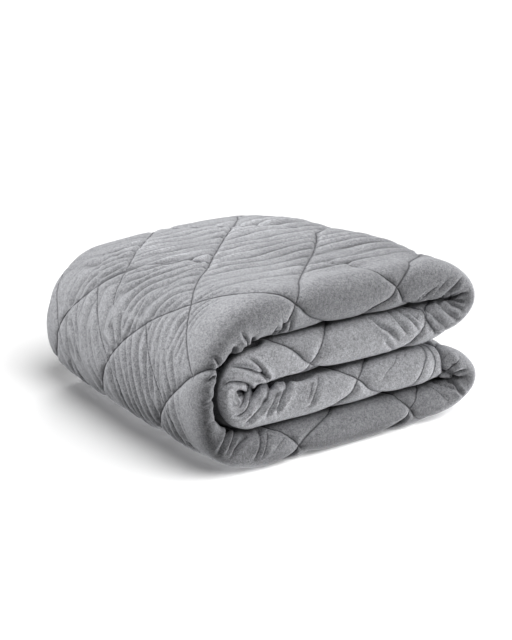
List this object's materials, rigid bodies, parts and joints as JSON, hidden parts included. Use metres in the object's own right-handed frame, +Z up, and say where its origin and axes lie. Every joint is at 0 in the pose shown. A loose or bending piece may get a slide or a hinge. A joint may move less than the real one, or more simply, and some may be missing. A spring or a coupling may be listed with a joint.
{
  "type": "weighted blanket",
  "caption": "Quilted weighted blanket folded lengthwise in three, then back and forth into a rounded square bundle that rests on its flat underside.",
  "frame": {"origin": "middle of the footprint, on the flat underside", "axes": "+Z up; +X along the folded strip to the side of the two folded noses; the long rounded fold of the strip faces -Y"},
  "size_m": [0.5366, 0.5442, 0.2668],
  "materials": {
    "cloth": "soft brushed jersey with a short pile, matt"
  },
  "bodies": {
    "root": {"blanket": "cloth"}
  },
  "joints": []
}
